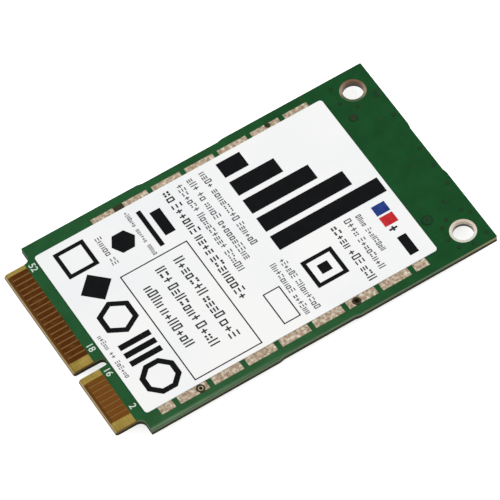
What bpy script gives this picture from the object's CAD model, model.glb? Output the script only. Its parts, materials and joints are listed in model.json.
"""Dresses a laptop wireless card: lacquered board, gold contacts, paper label, and the parts on its hidden side.

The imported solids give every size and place. Sizes here are in millimetres, in the card's own coordinates: x across
the card from its centre line, y along it from the contact edge, and z up from its labelled face. Card.metres turns
them into the frame's metres. Materials measure places in millimetres from the frame's own origin.
"""

import json
import logging
from dataclasses import dataclass
from enum import Enum

import bpy
import numpy as np
from mathutils import Matrix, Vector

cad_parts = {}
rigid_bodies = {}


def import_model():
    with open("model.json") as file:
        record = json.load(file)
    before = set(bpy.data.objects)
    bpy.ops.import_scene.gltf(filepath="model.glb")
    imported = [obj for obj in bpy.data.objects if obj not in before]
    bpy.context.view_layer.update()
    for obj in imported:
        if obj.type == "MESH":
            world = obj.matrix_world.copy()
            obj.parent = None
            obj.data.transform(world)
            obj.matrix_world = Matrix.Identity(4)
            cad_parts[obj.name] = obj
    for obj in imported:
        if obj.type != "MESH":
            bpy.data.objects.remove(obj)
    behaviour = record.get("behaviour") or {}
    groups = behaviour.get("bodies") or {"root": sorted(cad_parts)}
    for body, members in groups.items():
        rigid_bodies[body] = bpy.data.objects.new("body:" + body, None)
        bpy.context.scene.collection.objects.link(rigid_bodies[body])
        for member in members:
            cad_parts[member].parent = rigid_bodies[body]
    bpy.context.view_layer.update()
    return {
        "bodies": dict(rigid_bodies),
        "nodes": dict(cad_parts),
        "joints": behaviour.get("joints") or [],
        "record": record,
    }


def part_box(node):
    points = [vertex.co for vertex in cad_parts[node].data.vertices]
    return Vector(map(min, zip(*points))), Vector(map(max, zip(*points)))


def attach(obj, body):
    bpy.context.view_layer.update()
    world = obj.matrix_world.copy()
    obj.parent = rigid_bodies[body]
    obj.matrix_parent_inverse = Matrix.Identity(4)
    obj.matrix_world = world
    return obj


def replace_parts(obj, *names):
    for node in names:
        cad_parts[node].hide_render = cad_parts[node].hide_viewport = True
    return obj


MM = 0.001
ROOT = "root"
log = logging.getLogger("wireless_card")

Colour = tuple[int, int, int]
Span = tuple[float, float]
Triple = tuple[float, float, float]
Marks = tuple[tuple[str, float, float], ...]
Faces = list[tuple[int, ...]]
Shell = tuple[np.ndarray, Faces]


class Side(Enum):
    """A face of the card, with the way that its outward normal points."""

    LABEL = 1.0
    COMPONENT = -1.0


class Figure(Enum):
    """The plain figures that stand for the characters of small print."""

    UPRIGHTS = 0
    BOX = 1
    DASHES = 2
    CROSS = 3
    DOTS = 4


def linear(colour: Colour) -> tuple[float, float, float, float]:
    """Turns a display colour of 0 to 255 into the renderer's linear colour.

    Args:
        colour: red, green and blue as a screen shows them.

    Returns:
        Red, green, blue and a full alpha.
    """
    share = np.array(colour, float) / 255.0
    red, green, blue = np.where(share <= 0.04045, share / 12.92, ((share + 0.055) / 1.055) ** 2.4)
    return float(red), float(green), float(blue), 1.0


class Signal:
    """A value in a node graph. Sums with other signals or numbers add nodes to the graph."""

    def __init__(self, graph: "Graph", socket: bpy.types.NodeSocket) -> None:
        """Takes the graph and the socket that holds the value."""
        self.graph = graph
        self.socket = socket

    def __add__(self, other: "Signal | float") -> "Signal":
        """The sum of both."""
        return self.graph.maths("ADD", self, other)

    def __sub__(self, other: "Signal | float") -> "Signal":
        """This signal less the other."""
        return self.graph.maths("SUBTRACT", self, other)

    def __rsub__(self, other: float) -> "Signal":
        """A number less this signal."""
        return self.graph.maths("SUBTRACT", other, self)

    def __mul__(self, other: "Signal | float") -> "Signal":
        """The product of both."""
        return self.graph.maths("MULTIPLY", self, other)


Value = Signal | float
Tone = Signal | Colour


class Graph:
    """A node tree that is built a node at a time."""

    def __init__(self, tree: bpy.types.NodeTree) -> None:
        """Takes the tree to build in."""
        self.tree = tree

    def put(self, value: Value | Tone | Triple, socket: bpy.types.NodeSocket) -> None:
        """Feeds a socket.

        Args:
            value: a signal to link, or a number, vector or display colour to set.
            socket: the socket that takes it.
        """
        if isinstance(value, Signal):
            self.tree.links.new(value.socket, socket)
        else:
            socket.default_value = linear(value) if socket.type == "RGBA" else value

    def node(
        self, kind: str, output: str | int, inputs: dict[str | int, Value | Tone | Triple], **settings: str
    ) -> Signal:
        """Adds a node.

        Args:
            kind: the node's type, without the words that every type starts with.
            output: the output to give back.
            inputs: what each input takes.
            settings: the node's own settings.

        Returns:
            The output.
        """
        node = self.tree.nodes.new(f"ShaderNode{kind}")
        for name, setting in settings.items():
            setattr(node, name, setting)
        for name, value in inputs.items():
            self.put(value, node.inputs[name])
        return Signal(self, node.outputs[output])

    def maths(self, operation: str, first: Value, second: Value) -> Signal:
        """One sum; the operation has Blender's name for it."""
        return self.node("Math", "Value", {0: first, 1: second}, operation=operation)

    def above(self, value: Signal, low: float, high: float) -> Signal:
        """A smooth step from 0 to 1 as a value rises from low to high."""
        inputs = {"Value": value, "From Min": low, "From Max": high}
        return self.node("MapRange", "Result", inputs, interpolation_type="SMOOTHSTEP")

    def within(self, value: Signal, low: float, high: float, soft: float) -> Signal:
        """1 where a value lies between low and high and 0 outside, with ends that fade over twice the soft length."""
        return self.above(value, low - soft, low + soft) * (1.0 - self.above(value, high - soft, high + soft))

    def between(self, value: Signal, low: float, high: float) -> Signal:
        """Takes a value of 0 to 1 to the numbers from low to high."""
        return self.node("MapRange", "Result", {"Value": value, "To Min": low, "To Max": high})

    def mix(self, share: Value, first: Tone, second: Tone, blend: str = "MIX") -> Signal:
        """Mixes two colours by the second's share. The node's colours are its inputs 6 and 7 and its output 2."""
        return self.node("Mix", 2, {0: share, 6: first, 7: second}, data_type="RGBA", blend_type=blend)

    def ramp(self, value: Signal, *stops: tuple[float, Colour]) -> Signal:
        """Colours a value.

        Args:
            value: the value, from 0 to 1.
            stops: places from 0 to 1, each with its colour.

        Returns:
            The colour.
        """
        colour = self.node("ValToRGB", "Color", {"Fac": value})
        elements = colour.socket.node.color_ramp.elements
        while len(elements) < len(stops):
            elements.new(0.5)
        for element, (place, tone) in zip(elements, stops):
            element.position = place
            element.color = linear(tone)
        return colour


class Surface(Graph):
    """One material's node tree, around its Principled shader."""

    def __init__(self, name: str, roughness: float, metallic: float, specular: float) -> None:
        """Starts a material.

        Args:
            name: the material's name.
            roughness: the shader's roughness.
            metallic: the shader's metallic share.
            specular: the shader's specular level.
        """
        self.material = bpy.data.materials.new(name)
        self.material.use_nodes = True
        super().__init__(self.material.node_tree)
        self.shader = self.tree.nodes["Principled BSDF"].inputs
        for key, value in (("Roughness", roughness), ("Metallic", metallic), ("Specular IOR Level", specular)):
            self.shader[key].default_value = value
        metres = self.node("TexCoord", "Object", {})
        self.place = self.node("VectorMath", "Vector", {0: metres, "Scale": 1.0 / MM}, operation="SCALE")
        self.x, self.y, self.z = (self.axis(name, self.place) for name in "XYZ")

    def axis(self, name: str, vector: Signal) -> Signal:
        """One axis of a vector."""
        return self.node("SeparateXYZ", name, {0: vector})

    def noise(self, scale: float, detail: float = 3.0, stretch: Triple = (1.0, 1.0, 1.0)) -> Signal:
        """A cloud of 0 to 1: scale is features to a millimetre, detail finer octaves, and stretch for each axis."""
        place = self.node("Mapping", "Vector", {"Vector": self.place, "Scale": stretch})
        return self.node("TexNoise", "Fac", {"Vector": place, "Scale": scale, "Detail": detail})

    def weave(self, pitch: float, uneven: float = 0.6) -> Signal:
        """Woven cloth's relief: the greater of two crossed waves, whose scale is a tenth of pi over the pitch."""
        inputs = {"Vector": self.place, "Scale": 0.314 / pitch, "Distortion": uneven}
        return self.maths("MAXIMUM", *(self.node("TexWave", "Fac", inputs, bands_direction=way) for way in "XY"))

    def facing(self) -> Signal:
        """How level the surface is: 1 on the card's faces and 0 on its edges."""
        return self.maths("ABSOLUTE", self.axis("Z", self.node("NewGeometry", "True Normal", {})), 0.0)

    def finish(self, colour: Signal, relief: Signal, depth: float) -> bpy.types.Material:
        """Gives the shader its colour and relief.

        Args:
            colour: the colour.
            relief: the relief, from 0 to 1.
            depth: the relief's depth.

        Returns:
            The finished material.
        """
        self.put(colour, self.shader["Base Color"])
        bump = self.node("Bump", "Normal", {"Height": relief, "Distance": depth * MM, "Strength": 1.0})
        self.put(bump, self.shader["Normal"])
        return self.material

    def rough(self, value: Signal, low: float, high: float) -> None:
        """Lets a pattern move the shader's roughness from low to high."""
        self.put(self.between(value, low, high), self.shader["Roughness"])


@dataclass(frozen=True)
class Mottled:
    """A finish of two close colours in a cloudy pattern, with a fine relief."""

    name: str
    dark: Colour
    light: Colour
    roughness: float = 0.5
    specular: float = 0.4
    scale: float = 2.0
    grain: float = 12.0
    depth: float = 0.006
    metallic: float = 0.0
    detail: float = 2.0
    stretch: Triple = (1.0, 1.0, 1.0)
    stops: Span = (0.3, 0.7)
    gloss: Span = (0.85, 1.15)

    def make(self) -> bpy.types.Material:
        """Builds the material.

        Returns:
            The material: a coarse cloud picks the colour, and a fine one gives gloss and relief.
        """
        surface = Surface(self.name, self.roughness, self.metallic, self.specular)
        fine = surface.noise(self.grain, self.detail, self.stretch)
        colour = surface.ramp(surface.noise(self.scale), *zip(self.stops, (self.dark, self.light)))
        surface.rough(fine, *(self.roughness * share for share in self.gloss))
        return surface.finish(colour, fine, self.depth)


@dataclass(frozen=True)
class Lacquer:
    """Green solder lacquer: deep far from the contacts, paler near them and by the right edge, with brown specks."""

    name: str
    far: Colour
    near: Colour
    edge: Colour
    speck: Colour = (66, 58, 34)
    rim: Colour = (128, 154, 122)
    shade: Colour = (205, 205, 205)
    drift: Span = (-8.0, 20.0)
    edge_band: Span = (12.6, 14.2)
    edge_share: float = 0.8
    rim_band: Span = (14.45, 14.95)
    rim_drift: Span = (-20.0, 4.0)
    rim_share: float = 0.75
    cloud_share: float = 0.55
    speck_step: Span = (0.68, 0.76)
    speck_share: float = 0.5
    roughness: float = 0.42
    specular: float = 0.07
    depth: float = 0.008

    def make(self) -> bpy.types.Material:
        """Builds the material.

        Returns:
            The material: places along and across the card pick the green, and clouds give specks and relief.
        """
        surface = Surface(self.name, self.roughness, 0.0, self.specular)
        far = surface.above(surface.y, *self.drift)
        greens = surface.mix(far, self.near, self.far)
        edge = surface.above(surface.x, *self.edge_band) * self.edge_share
        greens = surface.mix(edge * (1.0 - far), greens, self.edge)
        rim = surface.above(surface.x, *self.rim_band) * self.rim_share
        greens = surface.mix(rim * (1.0 - surface.above(surface.y, *self.rim_drift)), greens, self.rim)
        cloud, grain = surface.noise(0.45, 4.0), surface.noise(7.0, 3.0)
        mottle = cloud * self.cloud_share + grain * (1.0 - self.cloud_share)
        shade = surface.ramp(mottle, (0.3, self.shade), (0.7, (255, 255, 255)))
        greens = surface.mix(1.0, greens, shade, "MULTIPLY")
        specks = surface.above(surface.noise(1.7, 1.0), *self.speck_step) * self.speck_share
        surface.rough(grain, self.roughness * 0.8, self.roughness * 1.25)
        return surface.finish(surface.mix(specks, greens, self.speck), grain + cloud * 0.5, self.depth)


@dataclass(frozen=True)
class Laminate:
    """Bare woven laminate: mustard faces that brown between the contacts, and routed edges in layers."""

    card: "Card"
    name: str = "woven_laminate"
    face_dark: Colour = (134, 112, 44)
    face_light: Colour = (172, 148, 76)
    between: Colour = (132, 96, 54)
    margin: Colour = (98, 62, 26)
    front: Colour = (194, 170, 124)
    bordering: Colour = (66, 88, 62)
    edge_dark: Colour = (40, 34, 24)
    edge_light: Colour = (64, 56, 42)
    edge_line: Colour = (104, 126, 98)
    tongue_line: Colour = (128, 104, 60)
    far_line: Colour = (158, 156, 116)
    far_span: Span = (42.0, 51.0)
    contact_spans: tuple[Span, Span] = ((-12.25, 1.95), (5.4, 11.55))
    contact_start: float = 0.45
    contact_end: float = 2.7
    front_fade: Span = (0.05, 0.2)
    thread_pitch: float = 0.45
    weave_share: float = 0.1
    line_share: float = 0.5
    line_strength: float = 0.85
    line_fade: float = 0.14
    line_wander: float = 0.08
    face_levels: Span = (0.45, 0.6)
    depth: float = 0.015

    def make(self) -> bpy.types.Material:
        """Builds the material.

        Returns:
            The material: how level the surface is picks face or edge, places along and across the card pick the
            face's colour, and height the edge's layers.
        """
        surface = Surface(self.name, 0.6, 0.0, 0.03)
        near = self.card.near
        start, end = near + self.contact_start, near + self.contact_end
        weave, cloud = surface.weave(self.thread_pitch), surface.noise(0.9, 4.0, (1.0, 0.6, 1.0))
        blend = weave * self.weave_share + cloud * (1.0 - self.weave_share)
        face = surface.ramp(blend, (0.3, self.face_dark), (0.7, self.face_light))
        browned = surface.maths("MAXIMUM", *(surface.within(surface.x, *span, 0.1) for span in self.contact_spans))
        past = surface.above(surface.y, end, end + 0.3)
        face = surface.mix(browned * (1.0 - past), face, self.between)
        before = 1.0 - surface.above(surface.y, start - 0.05, start + 0.05)
        face = surface.mix(browned * before, face, self.margin)
        foremost = 1.0 - surface.above(surface.y, *(near + place for place in self.front_fade))
        face = surface.mix(past, surface.mix(foremost, face, self.front), self.bordering)
        streaks = surface.noise(3.0, 4.0, (1.0, 1.0, 9.0))
        edge = surface.ramp(streaks, (0.3, self.edge_dark), (0.72, self.edge_light))
        far = surface.above(surface.y, *(near + place for place in self.far_span))
        line = surface.mix(far, self.edge_line, self.far_line)
        line = surface.mix(surface.above(surface.y, end, end + 0.6), self.tongue_line, line)
        layer = self.card.face - self.line_share * (self.card.face - self.card.under)
        wavy = surface.z + surface.noise(1.1, 2.0) * self.line_wander
        edge = surface.mix(surface.above(wavy, layer, layer + self.line_fade) * self.line_strength, edge, line)
        colour = surface.mix(surface.above(surface.facing(), *self.face_levels), edge, face)
        return surface.finish(colour, streaks + weave * 0.3, self.depth)


@dataclass(frozen=True)
class Plating:
    """Thin gold over nickel, worn brown: darker on the left contacts, with faint wiping marks along each."""

    name: str = "worn_gold"
    left: Colour = (81, 43, 11)
    right: Colour = (112, 69, 23)
    wiped: Colour = (124, 78, 32)
    wiped_step: Span = (0.48, 0.75)
    wiped_share: float = 0.45
    span: Span = (1.5, 5.4)
    roughness: float = 0.4
    metallic: float = 0.25

    def make(self) -> bpy.types.Material:
        """Builds the material.

        Returns:
            The material: the place across the card picks the brown, and a cloud stretched along it the wiping marks.
        """
        surface = Surface(self.name, self.roughness, self.metallic, 0.03)
        browns = surface.mix(surface.above(surface.x, *self.span), self.left, self.right)
        wipes = surface.noise(1.3, 3.0, (2.0, 0.6, 1.0))
        colour = surface.mix(surface.above(wipes, *self.wiped_step) * self.wiped_share, browns, self.wiped)
        surface.rough(wipes, self.roughness * 0.8, self.roughness * 1.3)
        return surface.finish(colour, surface.noise(12.0, 2.0, (4.0, 0.6, 1.0)), 0.002)


@dataclass(frozen=True)
class SolderCoat:
    """Reflowed solder on copper: dull tan with pale bellies and brown flux spots."""

    name: str
    dark: Colour
    mid: Colour
    bright: Colour
    spot: Colour
    spot_step: Span = (0.57, 0.7)
    spot_share: float = 0.65

    def make(self) -> bpy.types.Material:
        """Builds the material.

        Returns:
            The material: one cloud gives the three tones, and the peaks of a second the spots.
        """
        surface = Surface(self.name, 0.42, 0.15, 0.3)
        cloud = surface.noise(2.2, 4.0)
        tones = surface.ramp(cloud, (0.32, self.dark), (0.5, self.mid), (0.66, self.bright))
        spots = surface.above(surface.noise(3.0, 2.0), *self.spot_step) * self.spot_share
        surface.rough(cloud, 0.3, 0.55)
        return surface.finish(surface.mix(spots, tones, self.spot), surface.noise(5.0, 3.0), 0.015)


@dataclass(frozen=True)
class RingPlating:
    """A plated hole: its rings change tone across the card's slant, and its barrel changes with depth."""

    card: "Card"
    name: str
    low_tone: Colour
    mid_tone: Colour
    high_tone: Colour
    barrel_head: Colour
    barrel_foot: Colour
    slant: Span = (-0.83, 0.56)
    reach: float = 1.65
    uneven: float = 0.5
    barrel_step: Span = (-0.15, 0.1)
    ring_levels: Span = (0.35, 0.65)

    def make(self) -> bpy.types.Material:
        """Builds the material.

        Returns:
            The material: the place along the slant picks the ring's tone, and the height the barrel's.
        """
        surface = Surface(self.name, 0.4, 0.1, 0.3)
        centre = solids_of(self.name.replace("ring", "hole_plating")).mean(axis=(0, 1)) / MM
        across = (surface.x - float(centre[0])) * self.slant[0]
        along = (surface.y - float(centre[1])) * self.slant[1]
        place = (across + along) * (0.5 / self.reach)
        place = place + 0.5 + (surface.noise(1.6, 3.0) - 0.5) * self.uneven
        ring = surface.ramp(place, (0.1, self.low_tone), (0.5, self.mid_tone), (0.9, self.high_tone))
        middle = (self.card.mask_under + self.card.mask_top) / 2
        step = surface.above(surface.z, *(middle + place for place in self.barrel_step))
        barrel = surface.mix(step, self.barrel_foot, self.barrel_head)
        colour = surface.mix(surface.above(surface.facing(), *self.ring_levels), barrel, ring)
        return surface.finish(colour, surface.noise(6.0, 3.0), 0.01)


def box_of(node: str) -> np.ndarray:
    """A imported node's lowest and highest corner, in frame metres."""
    return np.array([tuple(corner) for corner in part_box(node)])


@dataclass(frozen=True)
class Card:
    """The card's driving places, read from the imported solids, and the way from its own coordinates to the frame's."""

    half_width: float
    length: float
    near: float
    face: float
    under: float
    mask_top: float
    mask_under: float

    @classmethod
    def from_frame(cls) -> "Card":
        """Reads the card from the laminate's and the two lacquers' boxes.

        Returns:
            The card.
        """
        low, high = box_of("circuit_board") / MM
        mask_top = box_of("solder_mask_label_side")[1][2] / MM
        mask_under = box_of("solder_mask_component_side")[0][2] / MM
        places = (high[0], high[1] - low[1], low[1], high[2], low[2], mask_top, mask_under)
        return cls(*(float(place) for place in places))

    def metres(self, points: np.ndarray) -> np.ndarray:
        """Turns card points in millimetres, with z up from the labelled face, into frame points in metres."""
        return (np.asarray(points, float) + np.array([0.0, self.near, self.mask_top])) * MM

    def from_side(self, inset: float) -> float:
        """The place across the card that lies an inset from its right side, or from its left where it is negative."""
        return float(np.copysign(self.half_width, inset)) - inset


def solids_of(node: str) -> np.ndarray:
    """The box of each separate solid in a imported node.

    Triangles that share a corner get the same label: each takes its lowest corner's label until none changes.

    Args:
        node: the node's name.

    Returns:
        An array of solids by lowest and highest corner by x, y, z, in frame metres, in order of their corners.
    """
    mesh = bpy.data.objects[node].data
    corners = np.zeros(len(mesh.vertices) * 3)
    mesh.vertices.foreach_get("co", corners)
    corners = corners.reshape(-1, 3)
    mesh.calc_loop_triangles()
    faces = np.zeros(len(mesh.loop_triangles) * 3, dtype=np.int64)
    mesh.loop_triangles.foreach_get("vertices", faces)
    _, same = np.unique(np.round(corners / (MM * 1e-4)).astype(np.int64), axis=0, return_inverse=True)
    faces = same.reshape(-1)[faces.reshape(-1, 3)]
    labels, settled = np.arange(same.max() + 1), False
    while not settled:
        renewed = labels.copy()
        np.minimum.at(renewed, faces.ravel(), np.repeat(labels[faces].min(axis=1), 3))
        settled = np.array_equal(renewed, labels)
        labels = renewed
    owner = labels[same.reshape(-1)]
    boxes = [(corners[owner == k].min(axis=0), corners[owner == k].max(axis=0)) for k in np.unique(owner)]
    return np.array(sorted(boxes, key=lambda box: tuple(np.round(box[0], 6))))


def place_piece(mesh: bpy.types.Mesh, material: bpy.types.Material) -> bpy.types.Object:
    """Makes a mesh an object that rides on the card.

    Args:
        mesh: the mesh, which has the piece's name.
        material: its material.

    Returns:
        The object.
    """
    mesh.materials.clear()
    mesh.materials.append(material)
    mesh.update()
    obj = bpy.data.objects.new(mesh.name, mesh)
    bpy.context.scene.collection.objects.link(obj)
    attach(obj, ROOT)
    log.info("%s: %d faces", obj.name, len(mesh.polygons))
    return obj


def build_piece(
    name: str, shells: list[Shell], material: bpy.types.Material, smooth: bool = False
) -> bpy.types.Object:
    """Makes a piece of closed shells.

    Args:
        name: the piece's name.
        shells: its shells, with points in frame metres and faces that index each shell's own points.
        material: its material.
        smooth: whether its faces are smooth shaded.

    Returns:
        The object.
    """
    starts = np.cumsum([0] + [len(points) for points, _ in shells]).tolist()
    faces = [tuple(int(i) + start for i in face) for start, (_, own) in zip(starts, shells) for face in own]
    mesh = bpy.data.meshes.new(name)
    mesh.from_pydata(np.vstack([points for points, _ in shells]).tolist(), [], faces)
    mesh.polygons.foreach_set("use_smooth", np.full(len(mesh.polygons), smooth))
    return place_piece(mesh, material)


def box_shell(low: np.ndarray, high: np.ndarray) -> Shell:
    """A box between its lowest and highest corner.

    Args:
        low: the lowest corner.
        high: the highest corner.

    Returns:
        The eight points and the six faces.
    """
    (x0, y0, z0), (x1, y1, z1) = low, high
    ring = [(x0, y0), (x1, y0), (x1, y1), (x0, y1)]
    faces = [(0, 3, 2, 1), (4, 5, 6, 7), (0, 1, 5, 4), (1, 2, 6, 5), (2, 3, 7, 6), (3, 0, 4, 7)]
    return np.array([(x, y, z) for z in (z0, z1) for x, y in ring]), faces


def lathe_shell(profile: np.ndarray, centre: np.ndarray, segments: int) -> Shell:
    """A closed profile turned about an upright axis: point (r, z) becomes (r cos a, r sin a, z) at each angle a.

    Args:
        profile: points as radius and height, anticlockwise as seen with the radius to the right.
        centre: the axis's place.
        segments: how many angles.

    Returns:
        The points and the faces, which look outwards.
    """
    radius, height = np.asarray(profile, float).T[:, None, :]
    angles = np.linspace(0.0, 2.0 * np.pi, segments, endpoint=False)[:, None]
    x, y = centre[0] + radius * np.cos(angles), centre[1] + radius * np.sin(angles)
    points = np.stack([x, y, height + 0.0 * angles], axis=-1).reshape(-1, 3)
    count = len(profile)
    i, j = np.meshgrid(np.arange(segments), np.arange(count), indexing="ij")
    here, there, up = i * count, (i + 1) % segments * count, (j + 1) % count
    return points, np.stack([here + j, there + j, there + up, here + up], axis=-1).reshape(-1, 4).tolist()


def dome_shell(
    centre: np.ndarray, radius: float, height: float, side: Side, segments: int = 20, steps: int = 5, power: float = 2.0
) -> Shell:
    """A closed low dome over a flat foot: its height is the full height times 1 minus a power of the radius's share.

    Args:
        centre: the middle of the foot.
        radius: the foot's radius.
        height: the dome's height.
        side: the face of the card that it stands on.
        segments: how many angles.
        steps: how many rings.
        power: 2 for a round dome, and more for a flat top with a steep rim.

    Returns:
        The points and the faces.
    """
    share = np.linspace(1.0, 0.0, steps + 1)[:-1]
    angles = np.linspace(0.0, 2.0 * np.pi, segments, endpoint=False)
    share, angle = np.meshgrid(share, angles, indexing="ij")
    x, y = centre[0] + radius * share * np.cos(angle), centre[1] + radius * share * np.sin(angle)
    rings = np.stack([x, y, centre[2] + side.value * height * (1.0 - share**power)], axis=-1).reshape(-1, 3)
    points = np.vstack([rings, [[centre[0], centre[1], centre[2] + side.value * height]]])
    k, here = np.meshgrid(np.arange(steps - 1) * segments, np.arange(segments), indexing="ij")
    after = (here + 1) % segments
    quads = np.stack([k + here, k + after, k + segments + after, k + segments + here], -1).reshape(-1, 4)
    last, tip = (steps - 1) * segments, steps * segments
    faces = [tuple(quad) for quad in quads]
    faces += [(last + i, last + (i + 1) % segments, tip) for i in range(segments)]
    faces.append(tuple(range(segments))[::-1])
    return points, faces if side is Side.LABEL else [face[::-1] for face in faces]


def pillow_shell(low: np.ndarray, high: np.ndarray, crown: float, rng: np.random.Generator) -> Shell:
    """A soldered strip: a flat foot and a top that swells from its rim and wanders like cooled solder.

    The top's height is the rim's, plus the crown times (1 - u^8)(1 - v^8) times 1 plus 0.8 times the mean of five
    sine waves of random pitch and phase, where u and v run from -1 to 1 over the strip.

    Args:
        low: the strip's lowest corner.
        high: its highest corner.
        crown: how far the solder stands above the rim.
        rng: the source of the waves' pitch and phase.

    Returns:
        The points and the faces.
    """
    span, columns, wave_count = high - low, 14, 5
    rows = int(np.clip(span[1] / span[0] * columns, 10, 60))
    u, v = np.meshgrid(np.linspace(-1, 1, columns), np.linspace(-1, 1, rows), indexing="ij")
    x, y = low[0] + (u + 1) / 2 * span[0], low[1] + (v + 1) / 2 * span[1]
    waves = np.zeros_like(u)
    for _ in range(wave_count):
        pitch = rng.uniform(0.7, 2.6) * MM
        turn, phase = rng.uniform(0, np.pi), rng.uniform(0, 2 * np.pi)
        waves += np.sin((x * np.cos(turn) + y * np.sin(turn)) * 2 * np.pi / pitch + phase) / wave_count
    z = high[2] + crown * (1 - u**8) * (1 - v**8) * (1 + 0.8 * waves)
    upper = np.stack([x, y, z], -1).reshape(-1, 3)
    rim = np.concatenate([
        np.arange(columns) * rows,
        (columns - 1) * rows + np.arange(1, rows),
        np.arange(columns - 2, -1, -1) * rows + rows - 1,
        np.arange(rows - 2, 0, -1),
    ])
    lower = upper[rim].copy()
    lower[:, 2] = low[2]
    i, j = np.meshgrid(np.arange(columns - 1) * rows, np.arange(rows - 1), indexing="ij")
    faces = np.stack([i + j, i + rows + j, i + rows + j + 1, i + j + 1], -1).reshape(-1, 4).tolist()
    foot = len(upper) + np.arange(len(rim))
    faces += np.stack([rim, foot, np.roll(foot, -1), np.roll(rim, -1)], -1).tolist()
    faces.append(foot[::-1].tolist())
    return np.vstack([upper, lower]), faces


def ribbon_shell(card: Card, route: list[Span], width: float, height: float) -> Shell:
    """A flat ribbon of one width on the hidden face, with mitred corners and closed ends.

    At each point the ribbon is offset along the mean of its two runs' normals, divided by the cosine of half the turn.

    Args:
        card: the card that it lies on.
        route: the x, y points of its middle line.
        width: the ribbon's width.
        height: how far it stands above the face.

    Returns:
        The points in frame metres, and the faces.
    """
    route = np.array(route)
    runs = np.diff(route, axis=0)
    runs /= np.linalg.norm(runs, axis=1)[:, None]
    normals = np.stack([-runs[:, 1], runs[:, 0]], -1)
    before = np.vstack([normals[:1], normals])
    mean = before + np.vstack([normals, normals[-1:]])
    mean /= np.linalg.norm(mean, axis=1)[:, None]
    reach = mean * (width / 2 / np.maximum((mean * before).sum(axis=1), 0.4))[:, None]
    level = card.mask_under - card.mask_top
    sides = list(zip(route - reach, route + reach))
    points = np.array([[*place, z] for pair in sides for z in (level - height, level) for place in pair])
    faces: Faces = []
    for a in range(0, 4 * len(runs), 4):
        b = a + 4
        faces += [(a, a + 1, b + 1, b), (a + 2, b + 2, b + 3, a + 3)]
        faces += [(a, b, b + 2, a + 2), (a + 1, a + 3, b + 3, b + 1)]
    end = 4 * len(runs)
    return card.metres(points), faces + [(0, 2, 3, 1), (end, end + 1, end + 3, end + 2)]


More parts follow.
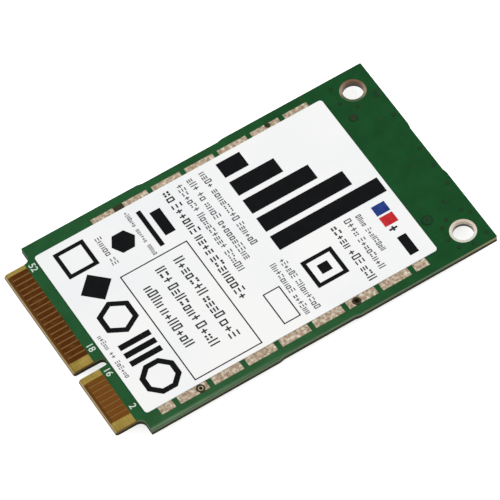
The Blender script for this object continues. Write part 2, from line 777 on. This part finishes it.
class Finishes:
    """Every material, made once, by a plain name. A node takes the first finish whose words are in its own name."""

    words = {
        "solder_mask": "lacquer", "substrate": "lacquer", "circuit_board": "laminate", "contacts": "gold",
        "_pin": "gold", "ground_strips": "solder", "plating_left": "ring_left", "plating_right": "ring_right",
        "print_black": "black", "print_grey": "grey", "print_blue": "blue", "print_red": "red", "label": "paper",
        "filter_body": "fired", "balun_body": "fired", "tantalum_capacitor_body": "tantalum", "_body": "mould",
        "capacitor_bodies": "tan", "resistor_bodies": "film", "core": "ferrite", "winding": "copper",
        "crystal_can": "lid", "crystal_base": "ceramic", "component_pads": "tinned", "test_pads": "shell",
        "_shell": "shell", "insulator": "insulator", "": "tin",
    }

    def __init__(self, card: Card) -> None:
        """Makes the materials.

        Args:
            card: the card, whose places some finishes follow.
        """
        covered = (0.1, 3.0, 14.0, 0.004)
        finishes = {
            "lacquer": Lacquer("green_lacquer", (22, 80, 38), (36, 92, 50), (50, 98, 58)),
            "traced": Lacquer("lacquer_over_copper", (36, 100, 52), (50, 112, 64), (50, 112, 64)),
            "laminate": Laminate(card),
            "gold": Plating(),
            "solder": SolderCoat("strip_solder", (146, 122, 98), (180, 160, 136), (220, 211, 192), (112, 80, 58)),
            "tinned": SolderCoat("pad_solder", (150, 132, 104), (186, 170, 144), (216, 208, 190), (110, 86, 62)),
            "ring_left": RingPlating(
                card, "ring_left", (70, 86, 54), (160, 138, 116), (110, 82, 56), (104, 76, 50), (84, 60, 40)
            ),
            "ring_right": RingPlating(
                card, "ring_right", (206, 206, 192), (226, 218, 204), (208, 190, 174), (222, 212, 196), (64, 62, 52)
            ),
            "paper": Mottled(
                "label_stock", (244, 245, 246), (249, 249, 248), 0.5, 0.12, 0.12, 7.0, 0.004, 0.0, 5.0,
                (1.0, 0.35, 1.0), (0.35, 0.65), (0.84, 1.2),
            ),
            "black": Mottled("black_ink", (7, 8, 10), (14, 15, 17), 0.5, 0.06, 0.8, 16.0, 0.002),
            "grey": Mottled("grey_ink", (66, 67, 69), (90, 91, 93), 0.6, 0.15, 1.4, 16.0, 0.002),
            "dark_grey": Mottled("dark_ink", (34, 35, 37), (50, 51, 53), 0.6, 0.15, 1.4, 16.0, 0.002),
            "blue": Mottled("blue_ink", (22, 46, 118), (34, 62, 132), 0.5, 0.15, 1.2, 16.0, 0.002),
            "red": Mottled("red_ink", (184, 26, 32), (204, 42, 48), 0.5, 0.15, 1.2, 16.0, 0.002),
            "silkscreen": Mottled("screen_print", (196, 214, 200), (222, 234, 224), 0.7, 0.2, 4.0, 20.0),
            "tented": Mottled("tented_copper", (32, 50, 27), (50, 54, 32), 0.4, *covered),
            "tent_core": Mottled("tented_core", (22, 42, 25), (38, 52, 32), 0.4, *covered),
            "tent_rim": Mottled("tented_rim", (12, 46, 24), (24, 62, 34), 0.4, *covered),
            "flux": Mottled("flux_stain", (44, 38, 24), (76, 68, 44), 0.5, *covered),
            "stain": Mottled("burnt_flux", (36, 40, 20), (60, 58, 34), 0.5, *covered),
            "pit": Mottled("drilled_hole", (10, 11, 8), (26, 22, 14), 0.8, 0.05, 3.0, 14.0, 0.004),
            "mould": Mottled("mould_compound", (24, 24, 26), (36, 36, 38), 0.62, 0.35, 2.0, 26.0, 0.008),
            "dimple": Mottled("polished_mark", (16, 16, 18), (24, 24, 26), 0.18, 0.4, 2.0, 20.0, 0.001),
            "tin": Mottled("lead_tin", (168, 168, 166), (206, 206, 204), 0.3, 0.5, 2.5, 10.0, 0.005, 0.85),
            "ferrite": Mottled("ferrite", (40, 40, 43), (62, 62, 66), 0.55, 0.4, 1.5, 12.0, 0.02),
            "copper": Mottled("copper_wire", (150, 74, 38), (196, 108, 60), 0.28, 0.5, 2.5, 9.0, 0.003, 0.8),
            "lid": Mottled("brushed_lid", (170, 168, 162), (204, 202, 196), 0.3, 0.5, 1.2, 9.0, 0.004, 0.9),
            "ceramic": Mottled("white_ceramic", (196, 190, 176), (218, 212, 200)),
            "tan": Mottled("capacitor_ceramic", (132, 104, 74), (162, 132, 98), 0.4, 0.4, 2.2),
            "film": Mottled("resistor_film", (18, 18, 22), (32, 32, 38), 0.25, 0.5, 3.0, 12.0, 0.004),
            "tantalum": Mottled("tantalum_case", (176, 104, 22), (200, 128, 40), 0.45, 0.4, 1.5, 14.0, 0.008),
            "fired": Mottled("fired_ceramic", (136, 142, 138), (166, 172, 168), 0.45),
            "shell": Mottled("socket_gold", (186, 146, 72), (214, 178, 104), 0.22, 0.5, 2.0, 9.0, 0.003, 0.9),
            "insulator": Mottled("socket_plastic", (212, 206, 190), (228, 224, 212), depth=0.005),
        }
        self.made = {name: finish.make() for name, finish in finishes.items()}

    def __getitem__(self, name: str) -> bpy.types.Material:
        """The material of that name."""
        return self.made[name]

    def dress(self, nodes: dict[str, bpy.types.Object]) -> None:
        """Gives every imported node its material.

        Args:
            nodes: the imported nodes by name.
        """
        for name, obj in nodes.items():
            finish = next(finish for words, finish in self.words.items() if words in name)
            obj.data.materials.clear()
            obj.data.materials.append(self[finish])
            log.info("%s takes %s", name, finish)


def figure_strokes(figure: Figure, width: float, height: float, stroke: float) -> list[tuple[float, ...]]:
    """The strokes of one plain figure.

    Args:
        figure: which figure.
        width: its width.
        height: its height.
        stroke: its strokes' thickness.

    Returns:
        Each stroke's lowest x and y and highest x and y, from the figure's lower left corner.
    """
    right, top = width - stroke, height - stroke
    middle, centre = right / 2, top / 2
    if figure is Figure.UPRIGHTS:
        return [(0.0, 0.0, stroke, height), (right, 0.0, width, height)]
    if figure is Figure.BOX:
        sides = [(0.0, stroke, stroke, top), (right, stroke, width, top)]
        return [(0.0, 0.0, width, stroke), (0.0, top, width, height), *sides]
    if figure is Figure.DASHES:
        return [(0.0, step, width, step + stroke) for step in (0.0, centre, top)]
    low, high = 0.1 * height, 0.9 * height
    if figure is Figure.CROSS:
        bars = [(0.0, centre, middle, centre + stroke), (middle + stroke, centre, width, centre + stroke)]
        return [(middle, low, middle + stroke, high), *bars]
    dot = 1.5 * stroke
    return [(x, y, x + dot, y + dot) for x in (0.0, width - dot) for y in (low, high - dot)]


@dataclass
class LabelSide:
    """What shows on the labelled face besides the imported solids: solder, vias, contact numbers and small print."""

    card: Card
    finishes: Finishes
    crown: float = 0.025
    mark_power: float = 8.0
    right_hole_inset: float = 1.67
    left_hole_inset: float = -1.45
    hole_places: Triple = (11.2, 32.5, 36.9)
    near_marks: Marks = (("flux", 0.62, 0.07), ("tinned", 0.39, 0.085), ("pit", 0.27, 0.1))
    far_marks: Marks = (("flux", 0.6, 0.07), ("pit", 0.38, 0.085))
    left_marks: Marks = (("stain", 0.42, 0.07),)
    stained_span: Span = (15.45, 16.75)
    stained_height: float = 0.04
    via_rims: tuple[str, str, float, float] = ("tented_via_rims", "tent_rim", 0.28, 0.012)
    via_tops: tuple[str, str, float, float] = ("tented_vias", "tented", 0.2, 0.0216)
    via_places: tuple[Span, ...] = (
        (10.3, 50.2), (9.5, 49.5), (13.8, 50.2), (14.3, 48.2), (13.8, 46.4), (9.7, 47.2), (10.4, 46.2), (12.2, 45.9),
        (-9.8, 50.0), (-10.5, 50.2), (-13.7, 46.0), (-11.3, 45.7), (-9.8, 47.3), (-0.6, 50.2), (2.4, 50.2), (5.4, 50.2),
        (7.4, 48.4), (-6.4, 50.2),
    )
    tent_inset: float = 0.3
    main_marks: Marks = (("tent_rim", 0.74, 0.012), ("lacquer", 0.5, 0.02), ("tent_core", 0.32, 0.026))
    aux_marks: Marks = (("tent_rim", 0.6, 0.012), ("tented", 0.44, 0.02))
    number_height: float = 0.84
    number_base: float = 3.06
    number_shifts: tuple[float, ...] = (0.05, -0.25, -0.25, -0.3)
    number_boldness: float = 0.012
    capital_share: float = 0.7
    screen_thickness: float = 0.012
    print_stroke: float = 0.14
    print_width: float = 0.5
    print_gap: float = 0.2
    dark_print_height: float = 1.0
    short_share: float = 0.74
    tall_odds: float = 0.4
    figure_odds: tuple[float, ...] = (0.22, 0.22, 0.2, 0.2, 0.16)
    hole_bore: float = 1.3
    hole_skin: float = 0.035
    hole_lip: float = 0.02

    def soldered_strips(self) -> None:
        """Covers the ground strips with uneven reflowed solder, from their outer sides to the label."""
        rng = np.random.default_rng(11)
        label_low, label_high = box_of("label")
        shells = []
        for low, high in solids_of("ground_strips_label_side"):
            if low[0] > 0.0:
                low[0] = label_high[0]
            else:
                high[0] = label_low[0]
            shells.append(pillow_shell(low, high, self.crown * MM, rng))
        strips = build_piece("ground_strip_solder", shells, self.finishes["solder"], smooth=True)
        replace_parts(strips, "ground_strips_label_side")

    def stained_gap(self) -> None:
        """Adds the burnt flux that fills one gap between the strips on the left."""
        near, far = self.stained_span
        corner = self.card.metres([box_of("ground_strips_label_side")[0][0] / MM, near, 0.0])
        opposite = self.card.metres([box_of("label")[0][0] / MM, far, self.stained_height])
        shell = pillow_shell(corner, opposite, self.crown * MM, np.random.default_rng(3))
        build_piece("strip_gap_stain", [shell], self.finishes["stain"], smooth=True)

    def stacked_marks(self, name: str, x: float, y: float, marks: Marks) -> None:
        """Lays round marks over one another, each smaller and a little higher than the last.

        Args:
            name: what the pieces' names start with.
            x: the marks' place across the card.
            y: their place along it.
            marks: the finish, the radius and the height of each.
        """
        centre = self.card.metres([x, y, 0.0])
        for finish, radius, height in marks:
            shell = dome_shell(centre, radius * MM, height * MM, Side.LABEL, segments=28, power=self.mark_power)
            build_piece(f"{name}_{finish}", [shell], self.finishes[finish], smooth=True)

    def strip_holes(self) -> None:
        """Adds the drilled holes that show dark in the strips, each in a flux stain."""
        right, left = self.card.from_side(self.right_hole_inset), self.card.from_side(self.left_hole_inset)
        near, far, beside = self.hole_places
        self.stacked_marks("strip_hole_near", right, near, self.near_marks)
        self.stacked_marks("strip_hole_far", right, far, self.far_marks)
        self.stacked_marks("strip_hole_left", left, beside, self.left_marks)

    def vias(self) -> None:
        """Adds the small vias under the lacquer."""
        centres = [self.card.metres([x, y, 0.0]) for x, y in self.via_places]
        for name, finish, radius, height in (self.via_rims, self.via_tops):
            shells = [dome_shell(centre, radius * MM, height * MM, Side.LABEL) for centre in centres]
            build_piece(name, shells, self.finishes[finish], smooth=True)

    def tents(self) -> None:
        """Adds the two larger pads under the lacquer, behind the antenna sockets' centre contacts."""
        for name, marks in (("main", self.main_marks), ("aux", self.aux_marks)):
            low, high = box_of(f"antenna_socket_{name}_pin") / MM
            y = high[1] - self.tent_inset - self.card.near
            self.stacked_marks(f"socket_{name}_tent", (low[0] + high[0]) / 2, y, marks)

    def contact_numbers(self) -> None:
        """Prints the plain numbers of the end contacts and of the two beside the key."""
        contacts = solids_of("contacts_label_side")
        middles = np.sort(contacts[:, :, 0].sum(axis=1) / 2 / MM)
        gap = int(np.argmax(np.diff(middles)))
        beside = 2 * (len(middles) - gap - 1)
        places = middles[[0, gap, gap + 1, -1]] + self.number_shifts
        for number, x in zip((2 * len(middles), beside + 2, beside, 2), places):
            name = f"contact_number_{number}"
            curve = bpy.data.curves.new(name, "FONT")
            curve.body = str(number)
            curve.size = self.number_height * MM / self.capital_share
            curve.offset = self.number_boldness * MM
            curve.extrude = self.screen_thickness / 2 * MM
            curve.align_x = "CENTER"
            source = bpy.data.objects.new(f"{name}_source", curve)
            bpy.context.scene.collection.objects.link(source)
            bpy.context.view_layer.update()
            mesh = bpy.data.meshes.new_from_object(source)
            bpy.data.objects.remove(source)
            place = self.card.metres([x, self.number_base, self.screen_thickness / 2])
            mesh.transform(Matrix.Translation(place.tolist()))
            mesh.name = name
            place_piece(mesh, self.finishes["silkscreen"])

    def small_print(self) -> None:
        """Breaks each plain bar of small print into a row of thin-lined figures that spell nothing."""
        rng = np.random.default_rng(5)
        light, dark = [], []
        for low, high in solids_of("label_print_grey"):
            height = high[1] - low[1]
            length = high[0] - low[0] + self.print_gap * height
            shells = dark if height > self.dark_print_height * MM else light
            count = max(1, round(length / ((self.print_width + self.print_gap) * height)))
            pitch = length / count
            for start in low[0] + np.arange(count) * pitch:
                figure = Figure(int(rng.choice(len(Figure), p=self.figure_odds)))
                tall = height if rng.random() < self.tall_odds else self.short_share * height
                width = pitch - self.print_gap * height
                for x0, y0, x1, y1 in figure_strokes(figure, width, tall, self.print_stroke * height):
                    corner = np.array([start + x0, low[1] + y0, low[2]])
                    shells.append(box_shell(corner, np.array([start + x1, low[1] + y1, high[2]])))
        for name, shells, finish in (("small_print_light", light, "grey"), ("small_print_dark", dark, "dark_grey")):
            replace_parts(build_piece(name, shells, self.finishes[finish]), "label_print_grey")

    def hole_rings(self) -> None:
        """Turns each mounting hole's plated barrel and rings as one smooth rivet with rounded lips."""
        bore, skin, lip = self.hole_bore * MM, self.hole_skin * MM, self.hole_lip * MM
        for name in ("left", "right"):
            node = f"hole_plating_{name}"
            low, high = box_of(node)
            ring, foot, head = (high[0] - low[0]) / 2, low[2], high[2]
            profile = [
                (bore + lip, foot), (ring - lip, foot), (ring, foot + lip / 2), (ring, foot + skin),
                (bore + skin, foot + skin), (bore + skin, head - skin), (ring, head - skin), (ring, head - lip / 2),
                (ring - lip, head), (bore + lip, head), (bore, head - lip), (bore, foot + lip),
            ]
            shell = lathe_shell(np.array(profile), (low + high) / 2, segments=96)
            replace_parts(build_piece(f"{node}_ring", [shell], self.finishes[f"ring_{name}"]), node)

    def build(self) -> None:
        """Builds everything on the labelled face."""
        self.soldered_strips()
        self.strip_holes()
        self.stained_gap()
        self.vias()
        self.tents()
        self.contact_numbers()
        self.small_print()
        self.hole_rings()


@dataclass
class ComponentSide:
    """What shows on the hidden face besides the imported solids: solder fillets, traces, outlines and marks."""

    card: Card
    finishes: Finishes
    fillet_share: float = 0.65
    fillet_reach: float = 0.2
    fillet_steps: int = 5
    trace_width: float = 0.16
    trace_height: float = 0.014
    trace_start: float = 2.8
    trace_turns: Span = (5.0, 6.6)
    trace_straight: float = 1.0
    trace_inset: float = 0.6
    trace_overrun: float = 0.4
    feed_overrun: float = 0.2
    feed_run: float = 1.2
    feed_slant: float = 1.5
    feed_stop: float = 2.0
    outline_stroke: float = 0.12
    outline_height: float = 0.024
    outline_clear: float = 0.35
    mark_inset: float = 0.12
    mark_height: float = 0.006
    wire_turns: int = 5
    wire_samples: int = 8
    wire_relief: float = 0.05
    wire_bore: float = 0.8

    def fillets(self) -> None:
        """Adds a hollow solder fillet at the outer end of each end cap, across its full width."""
        shells = []
        for cap_node, body_node in (
            ("capacitor_end_caps", "capacitor_bodies"), ("resistor_end_caps", "resistor_bodies"),
            ("bulk_capacitor_end_caps", "bulk_capacitor_bodies"), ("bandpass_filter_terminals", "bandpass_filter_body"),
        ):
            bodies = solids_of(body_node).mean(axis=1)
            for low, high in solids_of(cap_node):
                middle = (low + high) / 2
                nearest = bodies[np.argmin(np.linalg.norm(bodies[:, :2] - middle[:2], axis=1))]
                axis = int(np.argmax(np.abs(middle[:2] - nearest[:2])))
                way = 1.0 if middle[axis] > nearest[axis] else -1.0
                shells.append(self.fillet_shell(low, high, axis, way))
        build_piece("solder_fillets", shells, self.finishes["tin"])

    def fillet_shell(self, low: np.ndarray, high: np.ndarray, axis: int, way: float) -> Shell:
        """One fillet: a quarter-round hollow between a cap's end and the board, carried across the cap's width.

        Args:
            low: the cap's lowest corner.
            high: its highest corner, which is on the board.
            axis: 0 or 1, the axis that the cap's end looks along.
            way: 1 or -1, the way that it looks.

        Returns:
            The points and the faces.
        """
        rise = (high[2] - low[2]) * self.fillet_share
        reach = min(self.fillet_reach * MM, rise)
        angle = np.linspace(0.0, np.pi / 2, self.fillet_steps + 1)
        count = len(angle) + 1
        points = np.zeros((2, count, 3))
        points[:, :, axis] = high[axis] if way > 0 else low[axis]
        points[:, 1:, axis] += way * reach * (1 - np.sin(angle))
        points[:, :, 2] = high[2]
        points[:, 1:, 2] -= rise * (1 - np.cos(angle))
        points[:, :, 1 - axis] = np.array([low[1 - axis], high[1 - axis]])[:, None]
        faces = [(k, (k + 1) % count, count + (k + 1) % count, count + k) for k in range(count)]
        faces += [tuple(range(count - 1, -1, -1)), tuple(range(count, 2 * count))]
        return points.reshape(-1, 3), faces if (way > 0) == (axis == 0) else [face[::-1] for face in faces]

    def traces(self) -> None:
        """Runs copper from the contacts to the radio chip in straight and slanting runs, and feeds the sockets."""
        chip_low, chip_high = box_of("radio_chip_substrate") / MM
        chip_near = chip_low[1] - self.card.near
        contacts = solids_of("contacts_component_side")
        starts = np.sort(contacts[:, :, 0].sum(axis=1) / 2 / MM)
        ends = np.linspace(chip_low[0] + self.trace_inset, chip_high[0] - self.trace_inset, len(starts))
        turns = np.linspace(*self.trace_turns, len(starts) // 2)
        routes = []
        for x0, x1, y in zip(starts, ends, np.concatenate([turns, turns[::-1]])):
            slant = abs(x1 - x0)
            if slant < chip_near - self.trace_turns[0]:
                y = min(y, chip_near - slant - self.trace_straight)
            route = [(x0, self.trace_start), (x0, y), (x1, y + slant), (x1, chip_near + self.trace_overrun)]
            routes.append((route, self.trace_width))
        for name in ("main", "aux"):
            low, high = box_of(f"antenna_socket_{name}_pin") / MM
            x, y = (low[0] + high[0]) / 2, low[1] - self.card.near
            way = -1.0 if x > 0 else 1.0
            slanted = y - self.feed_run - self.feed_slant
            route = [
                (x, y + self.feed_overrun), (x, y - self.feed_run), (x + way * self.feed_slant, slanted),
                (x + way * (abs(x) - self.feed_stop), slanted),
            ]
            routes.append((route, 2.0 * self.trace_width))
        shells = [ribbon_shell(self.card, route, width, self.trace_height) for route, width in routes]
        build_piece("copper_traces", shells, self.finishes["traced"])

    def outlines(self) -> None:
        """Prints a thin line frame around each of the larger parts."""
        half = self.outline_stroke / 2
        shells = []
        for nodes in (
            ("radio_chip_substrate",), ("power_amplifier_body",), ("memory_chip_leads",), ("power_inductor_core",),
            ("crystal_base",), ("tantalum_capacitor_terminals", "tantalum_capacitor_body"),
            ("voltage_regulator_leads", "voltage_regulator_body"),
        ):
            corners = np.array([box_of(node) / MM for node in nodes])[:, :, :2] - (0.0, self.card.near)
            x0, y0 = corners[:, 0].min(axis=0) - self.outline_clear
            x1, y1 = corners[:, 1].max(axis=0) + self.outline_clear
            frame = (
                [(x0 - half, y0), (x1 + half, y0)], [(x0 - half, y1), (x1 + half, y1)],
                [(x0, y0 + half), (x0, y1 - half)], [(x1, y0 + half), (x1, y1 - half)],
            )
            shells += [ribbon_shell(self.card, route, self.outline_stroke, self.outline_height) for route in frame]
        build_piece("part_outlines", shells, self.finishes["silkscreen"])

    def marks(self) -> None:
        """Adds a polished round mark at the first corner of each moulded package."""
        shells = []
        for node, radius in (
            ("radio_chip_body", 0.45), ("power_amplifier_body", 0.25), ("memory_chip_body", 0.25),
            ("voltage_regulator_body", 0.15), ("rf_switch_body", 0.12),
        ):
            edge = (self.mark_inset + 2.0 * radius) * MM
            centre = box_of(node)[0] + (edge, edge, 0.0)
            shells.append(dome_shell(centre, radius * MM, self.mark_height * MM, Side.COMPONENT, segments=28, steps=3))
        build_piece("package_marks", shells, self.finishes["dimple"], smooth=True)

    def winding(self) -> None:
        """Turns the inductor's winding as stacked rounds of wire: its radius follows half sine waves."""
        low, high = box_of("power_inductor_winding")
        height = np.linspace(low[2], high[2], self.wire_turns * self.wire_samples + 1)
        phase = (height - low[2]) / (high[2] - low[2]) * self.wire_turns * np.pi
        relief, bore = self.wire_relief * MM, self.wire_bore * MM
        radius = (high[0] - low[0]) / 2 - relief + relief * np.abs(np.sin(phase))
        profile = np.vstack([[(bore, low[2])], np.stack([radius, height], -1), [(bore, high[2])]])
        shell = lathe_shell(profile, (low + high) / 2, segments=72)
        wire = build_piece("inductor_wire", [shell], self.finishes["copper"])
        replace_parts(wire, "power_inductor_winding")

    def build(self) -> None:
        """Builds everything on the hidden face."""
        self.fillets()
        self.traces()
        self.outlines()
        self.marks()
        self.winding()


@dataclass(frozen=True)
class Studio:
    """The plain pale floor, the soft lamps and the camera at the photograph's angle."""

    card: Card
    camera_place: Triple = (275.343, -106.753, 469.650)
    camera_right: Triple = (0.5235, 0.8494, -0.0666)
    camera_up: Triple = (-0.6964, 0.4717, 0.5410)
    camera_back: Triple = (0.4910, -0.2368, 0.8384)
    focal_length: float = 343.66
    sensor_width: float = 36.0
    floor_size: float = 4.0
    floor_tone: float = 0.86
    world_light: float = 0.68
    floor_glow: float = 0.7
    lamps: tuple[tuple[str, Triple, float, float], ...] = (
        ("key_lamp", (0.15, 0.7, 0.62), 0.4, 3.2), ("fill_lamp", (-0.6, -0.45, 0.6), 0.6, 1.2),
    )

    def camera(self) -> None:
        """Places the camera, whose place and axes were fitted to the card's corners, holes and contacts."""
        data = bpy.data.cameras.new("camera")
        data.sensor_width = self.sensor_width
        data.lens = self.focal_length
        data.clip_start = 0.01
        obj = bpy.data.objects.new("camera", data)
        turn = Matrix((self.camera_right, self.camera_up, self.camera_back)).transposed().to_4x4()
        obj.matrix_world = Matrix.Translation(self.card.metres(self.camera_place).tolist()) @ turn
        bpy.context.scene.collection.objects.link(obj)
        bpy.context.scene.camera = obj

    def seen_directly(self, graph: Graph) -> Signal:
        """1 for the rays that show a thing to the camera, directly or in gloss or through glass, and 0 for the rest."""
        kinds = ("Camera", "Glossy", "Transmission")
        direct, gloss, glass = (graph.node("LightPath", f"Is {kind} Ray", {}) for kind in kinds)
        return graph.maths("MAXIMUM", graph.maths("MAXIMUM", direct, gloss), glass)

    def world(self) -> None:
        """Lights the scene from all round at a plain level, and shows white behind it."""
        world = bpy.data.worlds.new("studio")
        world.use_nodes = True
        bpy.context.scene.world = world
        graph = Graph(world.node_tree)
        background = graph.tree.nodes["Background"].inputs
        graph.put((255, 255, 255), background["Color"])
        graph.put(graph.between(self.seen_directly(graph), self.world_light, 1.0), background["Strength"])

    def floor(self) -> None:
        """Lays a wide white floor that keeps the card's soft shadow and shows white elsewhere."""
        half = self.floor_size / 2
        mesh = bpy.data.meshes.new("floor")
        mesh.from_pydata([(-half, -half, 0), (half, -half, 0), (half, half, 0), (-half, half, 0)], [], [(0, 1, 2, 3)])
        surface = Surface("floor", 0.9, 0.0, 0.1)
        surface.shader["Base Color"].default_value = (self.floor_tone, self.floor_tone, self.floor_tone, 1.0)
        surface.put((255, 255, 255), surface.shader["Emission Color"])
        surface.put(self.seen_directly(surface) * self.floor_glow, surface.shader["Emission Strength"])
        mesh.materials.append(surface.material)
        floor = bpy.data.objects.new("floor", mesh)
        bpy.context.scene.collection.objects.link(floor)

    def lamp(self, name: str, place: Triple, size: float, power: float) -> None:
        """Hangs a square soft lamp that looks at the card.

        Args:
            name: the lamp's name.
            place: its place in metres.
            size: its side in metres.
            power: its power in watts.
        """
        data = bpy.data.lights.new(name, "AREA")
        data.size = size
        data.energy = power
        obj = bpy.data.objects.new(name, data)
        spot = Matrix.Translation(place)
        obj.matrix_world = spot @ spot.translation.to_track_quat("Z", "Y").to_matrix().to_4x4()
        bpy.context.scene.collection.objects.link(obj)

    def build(self) -> None:
        """Builds the studio."""
        self.camera()
        self.world()
        self.floor()
        for lamp in self.lamps:
            self.lamp(*lamp)
        bpy.context.scene.view_settings.view_transform = "Standard"


def main() -> None:
    """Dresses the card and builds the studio."""
    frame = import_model()
    card = Card.from_frame()
    log.info("card %.2f x %.2f mm", 2 * card.half_width, card.length)
    finishes = Finishes(card)
    finishes.dress(frame["nodes"])
    LabelSide(card, finishes).build()
    ComponentSide(card, finishes).build()
    Studio(card).build()


if __name__ == "__main__":
    logging.basicConfig(level=logging.INFO)
    main()
